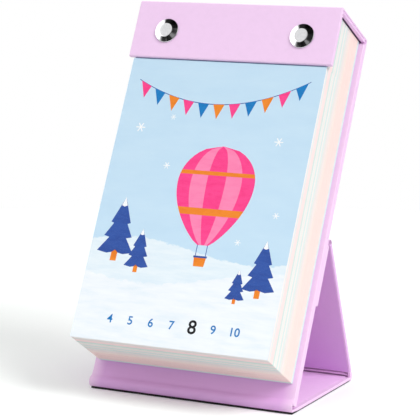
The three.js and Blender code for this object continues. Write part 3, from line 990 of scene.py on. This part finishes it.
def add_thin_fold(name, place, path, bodies, start, end, node, short=0.0):
    """A strip of cover paper along a path of points (y, z), bent between two bodies."""
    # A quarter of the edge colour along one face of the strip: a painted highlight
    outline = sheet_outline(path, PAPER / 2, -PAPER / 2, crease=0.25)
    ends = (case_low.x + short, case_high.x - short)
    add_fold(name, place, outline, ends, PAPER * 0.4, 2, cover_paper, bodies, start, end, node)


def add_rear_fold():
    """The cover paper round the rear joint."""
    bend = joint_arc(JOINT_ROUND - PAPER / 2, 16)
    top = strut_tilt @ Vector((strut_high.y - PAPER / 2, JOINT_TOP + FOLD_LAP_STRUT))
    path = [bend[0] - Vector((FOLD_LAP_BASE, 0))] + bend + [top]
    bodies = ("base", "strut")
    short = JOINT_END_WIDTH - GLUE
    pivots = (strut_pivot, strut_pivot_end)
    add_thin_fold("rear_fold_paper", AT_REAR_FOLD, path, bodies, *pivots, "rear_fold", short)


def add_tab_fold():
    """The cover paper over the top of the strut and down to the tab."""
    bend = arc(0, 0, strut_high.y - PAPER / 2, STRUT_LEAN, math.pi - LEAN, 18)
    down_strut = Vector((math.sin(STRUT_LEAN), -math.cos(STRUT_LEAN)))
    down_tab = Vector((-math.sin(LEAN), -math.cos(LEAN)))
    path = [bend[0] + down_strut] + bend + [bend[-1] + down_tab]
    bodies = ("strut", "tab")
    add_thin_fold("tab_fold_paper", AT_TAB_FOLD, path, bodies, bend[0], bend[-1], "tab_fold")


# Pad

# Colours of the cut edges, each from its place in the pad on: 0 at the front and 1 at the rear
BANDS = (
    (0.0, 150, 196, 226),
    (0.004, 254, 251, 250),
    (0.03, 249, 240, 238),
    (0.05, 232, 241, 239),
    (0.08, 255, 236, 235),
    (0.19, 219, 236, 232),
    (0.235, 244, 244, 241),
    (0.29, 251, 244, 242),
    (0.33, 225, 241, 238),
    (0.375, 251, 245, 243),
    (0.42, 231, 241, 239),
    (0.47, 241, 239, 236),
    (0.52, 248, 238, 237),
    (0.57, 251, 239, 233),
    (0.64, 255, 234, 229),
    (0.93, 245, 240, 235),
    (0.955, 230, 243, 244),
)
TINT_SPREAD = 0.035

pad_low, pad_high = extent("top_leaf", LEANING)
pad_rear = front_low.y - GLUE
tear_line = pad_high.z
foot_front = pad_low.z
foot_rear = extent("leaves_december", LEANING)[0].z
leaf_count = sum(DAYS.values())


def leaf_tint(order):
    """The colour of a leaf's cut edge, from its place in the pad."""
    shade = [shade for place, *shade in BANDS if place <= order][-1]
    tone = 1 - random.random() * TINT_SPREAD
    return [channel * tone for channel in linear(*shade)[:3]] + [1]


def leaf_path(behind, foot_shift):
    """The rear face of the leaf that has so many leaves behind it: its points (y, z) from foot to top."""
    foot = foot_rear + (foot_front - foot_rear) * behind / leaf_count
    clamped = pad_rear - behind * CLAMPED_PITCH
    return [
        (pad_rear - behind * FOOT_PITCH, foot + foot_shift),
        (pad_rear - behind * FREE_PITCH, tear_line),
        (clamped, tear_line + SHOULDER),
        (clamped, spine_top(clamped) - SPINE_THICKNESS - PAD_GAP),
    ]


def add_leaf(shape, behind, tint_layer):
    """One leaf, its edges a little out of line with its neighbours'."""
    tint = leaf_tint(1 - behind / leaf_count)
    side_shift = random.gauss(0, SIDE_SPREAD)
    foot_shift = random.gauss(0, FOOT_SPREAD) + FOOT_SHIFT
    outline = leaf_path(behind, foot_shift) + leaf_path(behind + LEAF_FILL_SHARE, foot_shift)[::-1]
    ends = []
    for x in (pad_low.x + LEAF_INSET + side_shift, pad_high.x - LEAF_INSET + side_shift):
        ring = [shape.verts.new((x, y, z)) for y, z in outline]
        for vertex in ring:
            vertex[tint_layer] = tint
        for low in range(len(ring) // 2 - 1):
            high = len(ring) - 1 - low
            shape.faces.new((ring[low], ring[low + 1], ring[high - 1], ring[high]))
        ends.append(ring)
    clad(shape, ends, capped=False)


def add_pad():
    """A block of loose leaves for each month, the new year at the front."""
    behind = 0
    for month, days in reversed(DAYS.items()):
        shape = new_shape()
        tint_layer = shape.verts.layers.float_color.new("tint")
        for _ in range(days):
            add_leaf(shape, behind, tint_layer)
            behind += 1
        block = make("month_" + month, shape, LEANING, leaf_paper, sharp=20)
        dress(block, "root", "leaf_paper", "leaves_" + month)


page_width = pad_high.x - pad_low.x
page_height = tear_line - foot_front
page_front_top = pad_rear - leaf_count * FREE_PITCH - PAGE_GAP
page_front_foot = pad_rear - leaf_count * FOOT_PITCH - PAGE_GAP


def page_point(across, up, lift=0.0):
    """A point on the day's leaf, from its place across and up the page, each from 0 to 1.

    What lies below the leaf's own thickness belongs to the leaf behind it, which doesn't curl.
    """
    fall = 1 - up
    y = page_front_top + (page_front_foot - page_front_top) * fall - lift
    if lift > -PAGE_THICKNESS - INK:
        corner = abs(across - 0.5) * 2
        y -= PAGE_CURL * fall ** 4 * (0.35 + 0.65 * corner ** 3)
    return Vector((pad_low.x + page_width * across, y, foot_front + page_height * up))


def add_sheet(name, body, slot, front, rear, *nodes):
    """A leaf printed on its front, between two depths from the face of the day's leaf."""
    shape = new_shape()
    printed = shape.verts.layers.float.new("printed")
    page_map = shape.loops.layers.uv.new("page")
    columns, rows = 24, 36
    places = {}
    rims = []
    for lift, mark in ((front, 1.0), (rear, 0.0)):
        grid = []
        for row in range(rows + 1):
            spots = [(column / columns, row / rows) for column in range(columns + 1)]
            line = [shape.verts.new(page_point(*spot, lift)) for spot in spots]
            places.update(zip(line, spots))
            for vertex in line:
                vertex[printed] = mark
            grid.append(line)
        for line, upper in zip(grid, grid[1:]):
            for column in range(columns):
                shape.faces.new((line[column], line[column + 1], upper[column + 1], upper[column]))
        inner_lines = grid[1:-1]
        rim = grid[0] + [line[-1] for line in inner_lines] + grid[-1][::-1]
        rims.append(rim + [line[0] for line in reversed(inner_lines)])
    clad(shape, rims, capped=False)
    for face in shape.faces:
        for loop in face.loops:
            loop[page_map].uv = places[loop.vert]
    dress(make(name, shape, LEANING, page_print, sharp=40), body, slot, *nodes)


class Picture:
    """Ink on a leaf: flat shapes in millimetres from the leaf's lower left corner."""

    def __init__(self, name, body, slot, depth):
        self.name = name
        self.body = body
        self.slot = slot
        self.depth = depth
        self.shapes = {colour: new_shape() for colour in inks}

    def vertex(self, colour, x, z, lift):
        place = page_point(x / page_width, z / page_height, self.depth + lift)
        return self.shapes[colour].verts.new(place)

    def patch(self, colour, points, layer=0):
        """A printed shape with the thickness of a layer of ink."""
        shape = self.shapes[colour]
        lifts = ((layer + 1.5) * INK, 0.1 * INK)
        upper, lower = [[self.vertex(colour, x, z, lift) for x, z in points] for lift in lifts]
        clad(shape, (upper, lower), capped=False)
        shape.faces.new(upper)
        shape.faces.new(lower[::-1])

    def band(self, colour, x, widths, heights, layer=0):
        """A patch with level edges, from its half widths at its two heights."""
        (lower, upper), (low, high) = widths, heights
        outline = [(x - lower, low), (x + lower, low), (x + upper, high), (x - upper, high)]
        self.patch(colour, outline, layer)

    def number(self, text, x, z, height, colour):
        """A plain number, centred on a point."""
        words = bpy.data.curves.new("number", "FONT")
        words.body = text
        words.align_x = "CENTER"
        words.align_y = "CENTER"
        words.size = height * 1.4
        words.offset = height * NUMBER_WEIGHT_SHARE
        words.extrude = INK / 2
        carrier = link("number", words)
        graph = bpy.context.evaluated_depsgraph_get()
        solid = bpy.data.meshes.new_from_object(carrier.evaluated_get(graph))
        bpy.data.objects.remove(carrier)
        places = [vertex.co for vertex in solid.vertices]
        vertices = [self.vertex(colour, x + co.x, z + co.y, INK + co.z) for co in places]
        for polygon in solid.polygons:
            self.shapes[colour].faces.new([vertices[index] for index in polygon.vertices])

    def finish(self):
        for colour, shape in self.shapes.items():
            if shape.faces:
                made = make(self.name + "_" + colour, shape, LEANING, inks[colour], sharp=40)
                dress(made, self.body, self.slot)
            else:
                shape.free()


BALLOON = (57, 79)
BALLOON_HALF_WIDTH = 19.5
BALLOON_HEIGHT = 48
BALLOON_WAIST = 0.62


def balloon_half_width(share):
    """Half the envelope's width, at a share of its height from its mouth."""
    if share >= BALLOON_WAIST:
        upper = (share - BALLOON_WAIST) / (1 - BALLOON_WAIST)
        return BALLOON_HALF_WIDTH * math.sqrt(max(0.0, 1 - upper ** 2))
    taper = math.sin(math.pi / 2 * (share / BALLOON_WAIST)) ** 0.8
    return BALLOON_HALF_WIDTH * (0.14 + 0.86 * taper)


def add_balloon(picture):
    """A plain striped hot-air balloon: gores, two belts, ropes and a basket."""
    x, z = BALLOON
    foot = z - BALLOON_HEIGHT * BALLOON_WAIST
    gores = (-1, -0.66, -0.24, 0.24, 0.66, 1)
    steps = 26
    shares = [step / steps for step in range(steps + 1)]
    levels = [(balloon_half_width(share), foot + BALLOON_HEIGHT * share) for share in shares]
    for index, (left, right) in enumerate(zip(gores, gores[1:])):
        one = [(x + left * half, height) for half, height in levels]
        other = [(x + right * half, height) for half, height in levels]
        picture.patch("pink" if index % 2 == 0 else "rose", one + other[::-1][1:])
    for middle, depth in ((0.33, 0.035), (0.72, 0.02)):
        belt = (middle - depth, middle + depth)
        widths = [balloon_half_width(share) for share in belt]
        heights = [foot + BALLOON_HEIGHT * share for share in belt]
        picture.band("orange", x, widths, heights, 1)
    mouth = balloon_half_width(0)
    basket_top = foot - 5.5
    for side in (-1, 1):
        rope = [(mouth, foot), (mouth - 0.35, foot), (2.35, basket_top), (2.7, basket_top)]
        picture.patch("navy", [(x + side * away, height) for away, height in rope])
    picture.band("orange", x, (2.6, 3.1), (basket_top - 4.6, basket_top), 1)
    picture.band("navy", x, (3.4, 3.4), (basket_top - 0.5, basket_top + 0.4), 2)


def add_tree(picture, x, z, height):
    """A pine of three tiers with snow on its tip."""
    trunk = height * 0.05
    picture.band("orange", x, (trunk, trunk), (z, z + height * 0.2))
    for tier, (low, top, share) in enumerate(((0.14, 0.56, 1.0), (0.38, 0.78, 0.78), (0.6, 1.0, 0.55))):
        half = height * 0.3 * share
        hem = z + height * low
        sag = hem - height * 0.03
        scallops = ((-1, hem), (-0.45, sag), (0, hem), (0.45, sag), (1, hem))
        outline = [(x + half * away, level) for away, level in scallops]
        picture.patch("navy", outline + [(x, z + height * top)], tier)
    cap = height * 0.13
    tip = z + height
    snow = [(x - cap * 0.36, tip - cap), (x, tip - cap * 1.15), (x + cap * 0.36, tip - cap), (x, tip)]
    picture.patch("white", snow, 3)


def add_flake(picture, x, z, radius):
    """A snowflake of six plain arms."""
    for arm in range(3):
        angle = math.pi * arm / 3
        along = Vector((math.cos(angle), math.sin(angle))) * radius
        side = Vector((-along.y, along.x)) * 0.11
        ends = [along + side, side - along, -along - side, along - side]
        picture.patch("white", [(x + end.x, z + end.y) for end in ends], arm * 0.4)


def add_bunting(picture):
    """A string of plain pennants across the sky."""
    start, finish = Vector((6, 128)), Vector((94, 131))
    sag = 12
    pennants = 11
    steps = 40

    def line(share):
        point = start.lerp(finish, share)
        return point.x, point.y - sag * 4 * share * (1 - share)

    cord = [line(step / steps) for step in range(steps + 1)]
    picture.patch("navy", [(x, z + 0.2) for x, z in cord] + [(x, z - 0.2) for x, z in reversed(cord)])
    for flag in range(pennants):
        middle = (flag + 0.5) / pennants
        half = 0.36 / pennants
        tip_x, tip_z = line(middle)
        colour = ("pink", "blue", "orange")[flag % 3]
        picture.patch(colour, [line(middle - half), line(middle + half), (tip_x, tip_z - 7.2)], 1)


def add_week(picture, today):
    """The week's numbers in a row, today's larger."""
    for day in range(4, 11):
        height, colour = (6.4, "black") if day == today else (4.0, "blue")
        picture.number(str(day), 50 + (day - 7) * 10.5, 10.5, height, colour)


def add_prints():
    """The picture on the day's leaf, and the plainer one on the leaf behind it."""
    today = Picture("print", "leaf", "page_print", 0.0)
    add_bunting(today)
    add_balloon(today)
    for tree in ((13, 38, 31), (25.5, 33.5, 21), (88.5, 27, 27), (78, 23.5, 16)):
        add_tree(today, *tree)
    flakes = ((12, 104, 2.4), (30, 86, 1.7), (84, 101, 2.2), (90, 66, 1.6), (28, 110, 1.4), (74, 52, 1.5))
    for flake in flakes:
        add_flake(today, *flake)
    add_week(today, 8)
    today.finish()
    tomorrow = Picture("next_print", "root", "leaf_paper", NEXT_PAGE_FRONT)
    for x, z in ((20, 112), (62, 121), (84, 96), (38, 92)):
        add_flake(tomorrow, x, z, 2.7)
    for tree in ((30, 34, 40), (50, 30, 28), (76, 27, 34)):
        add_tree(tomorrow, *tree)
    add_week(tomorrow, 9)
    tomorrow.finish()


# Fasteners


def fastener(node):
    """A fastener's radius, its front and rear ends, and its own frame on the back."""
    low, high = extent(node, LEANING)
    centre = (low + high) / 2
    return (high.x - low.x) / 2, low.y, high.y, LEANING @ Matrix.Translation((centre.x, 0, centre.z))


def turned(name, profile, place):
    """A turned piece of polished plate."""
    shape = new_shape()
    lathe(shape, profile)
    return make(name, shape, place, chrome, sharp=40)


def add_posts():
    """Polished bevelled caps on the header, each on its barrel."""
    for side in ("left", "right"):
        node = "binding_post_" + side
        radius, front, rear_end, place = fastener(node)
        rear = header_front - SEAT_GAP
        flat = radius * CAP_FLAT_SHARE
        cone = radius - CAP_RIM
        cone_end = front + (cone - flat) * math.tan(CAP_SLOPE)
        profile = [(0, front), (flat * 0.5, front), (flat * 0.94, front), (flat + 0.05, front + 0.02)]
        profile += [(flat + 0.2, front + 0.2 * math.tan(CAP_SLOPE)), (cone, cone_end)]
        for step in range(1, 7):
            angle = math.pi / 2 * step / 6
            drop = (rear - CAP_RIM_END - cone_end) * (1 - math.cos(angle))
            profile.append((cone + CAP_RIM * math.sin(angle), cone_end + drop))
        profile += [(radius, rear - CAP_BEVEL), (radius - CAP_BEVEL, rear), (BARREL_RADIUS, rear)]
        profile += [(BARREL_RADIUS, rear_end - BARREL_BEVEL), (BARREL_RADIUS - BARREL_BEVEL, rear_end)]
        profile += [(0, rear_end)]
        dress(turned("cap_" + side, profile, place), "root", "chrome", node)


def add_screws():
    """Slotted screw heads on the rear of the back."""
    for side in ("left", "right"):
        node = "post_screw_" + side
        radius, front, rear, place = fastener(node)
        seat = rear_face + SEAT_GAP
        edge = seat + SCREW_EDGE
        profile = [(0, rear)]
        for step in range(9):
            angle = math.pi / 2 * step / 8
            out = radius * (SCREW_FLAT_SHARE + (1 - SCREW_FLAT_SHARE) * math.sin(angle))
            profile.append((out, edge + (rear - edge) * math.cos(angle)))
        profile += [(radius, seat), (SCREW_RADIUS, seat), (SCREW_RADIUS, front + SCREW_BEVEL)]
        profile += [(SCREW_RADIUS - SCREW_BEVEL, front), (0, front)]
        head = turned("screw_" + side, profile, place)
        slot = new_shape()
        corner = Vector((radius + 1, rear + 1, SLOT_HALF_WIDTH))
        slab(slot, Vector((-corner.x, rear - SLOT_DEPTH, -corner.z)), corner, SLOT_ROUND)
        cutter = make("slot_cutter", slot, place, chrome)
        cut = head.modifiers.new("cut", "BOOLEAN")
        cut.operation = "DIFFERENCE"
        cut.solver = "EXACT"
        cut.object = cutter
        bpy.context.view_layer.update()
        graph = bpy.context.evaluated_depsgraph_get()
        carved = bpy.data.meshes.new_from_object(head.evaluated_get(graph))
        head.modifiers.remove(cut)
        head.data = carved
        carved.set_sharp_from_angle(angle=math.radians(40))
        bpy.data.objects.remove(cutter)
        dress(head, "root", "chrome", node)


def dress_hidden_nodes():
    """Boards and magnets keep their solids inside the paper and get their own finishes."""
    for name, node in frame["nodes"].items():
        for part, material in (("_board", greyboard), ("magnet", magnet)):
            if part in name:
                node.data.materials.clear()
                node.data.materials.append(material)


# Studio

FLOOR_WHITE = (1.03, 1.06, 1.04, 1)
FLOOR_RADIUS_METRES = 0.55
# Brightness of the surroundings at these heights, from the floor's level to overhead
SURROUNDINGS = ((0.0, 0.16), (0.3, 0.44), (0.7, 0.84))
SOFT_BOX_GLOW = 2.4
# Lamps: the brightness that each gives a white card that faces it, its direction and its size in metres
LAMPS = {
    "side_key": (0.58, Vector((0.74, -0.2, 0.64)), 1.1),
    "front_fill": (0.16, Vector((-0.3, -0.75, 0.59)), 2.4),
}
LAMP_TARGET_METRES = Vector((0, 0, 0.08))
LAMP_DISTANCE_METRES = 2.6


def add_floor():
    """A white table top that keeps the calendar's shadow."""
    finish = Finish("floor", Roughness=0.9, Specular_IOR_Level=0.0)
    grain = finish.noise(finish.place(), 0.02, detail=3)
    white = finish.ramp(grain, (0.3, grey(0.985)), (0.7, grey(1)))
    bright = finish.blend(1.0, white, FLOOR_WHITE, "MULTIPLY")
    seen = finish.node("LightPath").outputs["Is Camera Ray"]
    finish.coat(Base_Color=finish.blend(seen, linear(236, 236, 236), bright))
    mesh = bpy.data.meshes.new("floor")
    turns = [2 * math.pi * step / 64 for step in range(64)]
    rim = [Vector((math.cos(turn), math.sin(turn), 0)) * FLOOR_RADIUS_METRES for turn in turns]
    mesh.from_pydata(rim, [], [range(64)])
    mesh.materials.append(finish.material)
    floor = link("floor", mesh)


def add_world():
    """A pale studio, lighter overhead and white behind the calendar. Its soft boxes show in reflections."""
    world = bpy.data.worlds.new("studio")
    world.use_nodes = True
    world.node_tree.nodes.clear()
    studio = Graph(world.node_tree)

    def glow(share, *stops):
        return studio.ramp(share, *[(place, grey(value)) for place, value in stops])

    ray = studio.node("LightPath").outputs
    toward = studio.node("SeparateXYZ", Vector=studio.node("TexCoord").outputs["Generated"]).outputs
    leftward = studio.math("MULTIPLY_ADD", toward["X"], -0.5, 0.5)
    rearward = studio.math("MULTIPLY_ADD", toward["Y"], 0.5, 0.5)
    boxes = glow(leftward, (0.62, 0.01), (0.68, 0.42), (0.74, 0.42), (0.84, 1.0))
    for box in (
        glow(rearward, (0.66, 0.0), (0.78, 0.5)),
        glow(leftward, (0.38, 0.0), (0.41, 0.13), (0.46, 0.13), (0.49, 0.0)),
        glow(leftward, (0.1, 0.55), (0.2, 0.34), (0.26, 0.0)),
    ):
        boxes = studio.math("MAXIMUM", boxes, box)
    level = glow(toward["Z"], (0.08, 0.02), (0.16, 1.0), (0.74, 1.0), (0.82, 0.02))
    boxes = studio.math("MULTIPLY", boxes, level)
    reflected = studio.node("Background", Color=boxes, Strength=SOFT_BOX_GLOW)
    ambient = studio.node("Background", Color=glow(toward["Z"], *SURROUNDINGS), Strength=1.0)
    backdrop = studio.node("Background", Color=grey(1), Strength=1.0)
    seen = studio.node("MixShader", Fac=ray["Is Glossy Ray"], Shader=ambient, Shader__1=reflected)
    seen = studio.node("MixShader", Fac=ray["Is Camera Ray"], Shader=seen, Shader__1=backdrop)
    studio.node("OutputWorld", Surface=seen)
    bpy.context.scene.world = world


def add_lamps():
    """Soft boxes at the right and in front, which don't show in polished metal."""
    for name, (share, direction, size) in LAMPS.items():
        data = bpy.data.lights.new(name, "AREA")
        data.size = size
        data.energy = share * math.pi ** 2 * LAMP_DISTANCE_METRES ** 2
        lamp = link(name, data)
        way = direction.normalized()
        lamp.location = LAMP_TARGET_METRES + way * LAMP_DISTANCE_METRES
        lamp.rotation_euler = way.to_track_quat("Z", "Y").to_euler()
        lamp.visible_glossy = False


add_cover_case()
add_cover_lining()
add_front_board()
add_foot_lip()
add_base()
add_strut()
add_tab()
add_ridge()
add_joint_ends()
add_rear_fold()
add_tab_fold()
add_pad()
add_sheet("day_leaf", "leaf", "page_print", 0.0, -PAGE_THICKNESS, "top_leaf")
add_sheet("next_leaf", "root", "leaf_paper", NEXT_PAGE_FRONT, NEXT_PAGE_FRONT - NEXT_PAGE_THICKNESS)
add_prints()
add_posts()
add_screws()
dress_hidden_nodes()
add_floor()
add_world()
add_lamps()
bpy.context.scene.view_settings.view_transform = "Standard"
